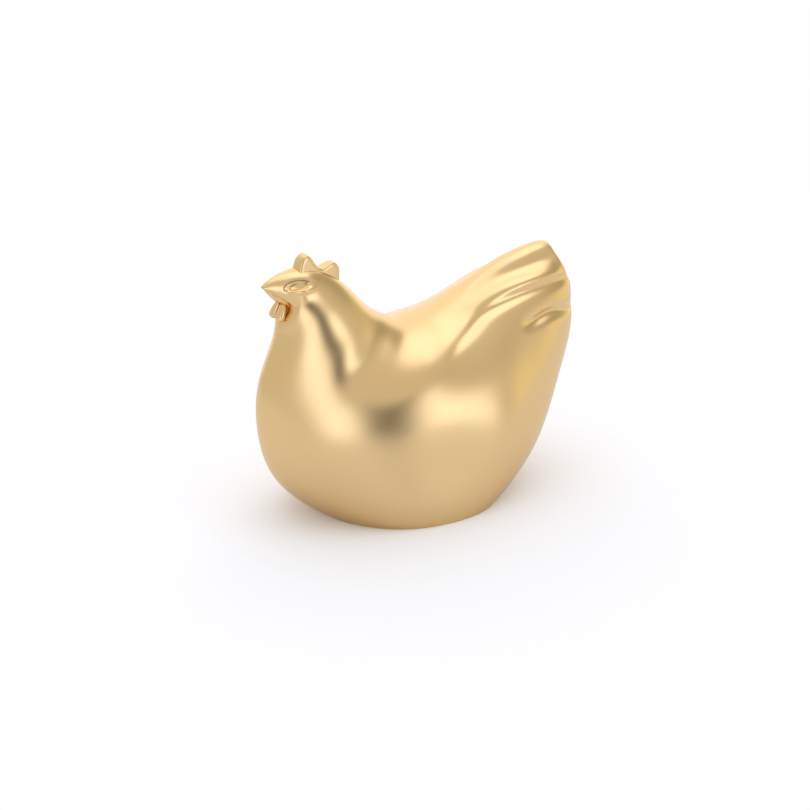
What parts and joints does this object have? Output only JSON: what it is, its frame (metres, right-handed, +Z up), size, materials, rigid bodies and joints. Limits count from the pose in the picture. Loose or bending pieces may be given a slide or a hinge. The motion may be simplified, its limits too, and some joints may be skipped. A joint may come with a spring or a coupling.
{
  "type": "hen figurine",
  "caption": "Plump sitting hen ornament in satin gold, slip-cast hollow, with a notched comb, small wattles and a fluted upright tail.",
  "frame": {"origin": "centre of the hen's length and width, on the plane it stands on", "axes": "+X towards the tail, the bill points along -X, +Z up, the hen is the same on both sides of Y = 0"},
  "size_m": [0.1647, 0.0872, 0.1279],
  "materials": {
    "hen": "satin"
  },
  "bodies": {
    "root": {"hen": "hen"}
  },
  "joints": []
}
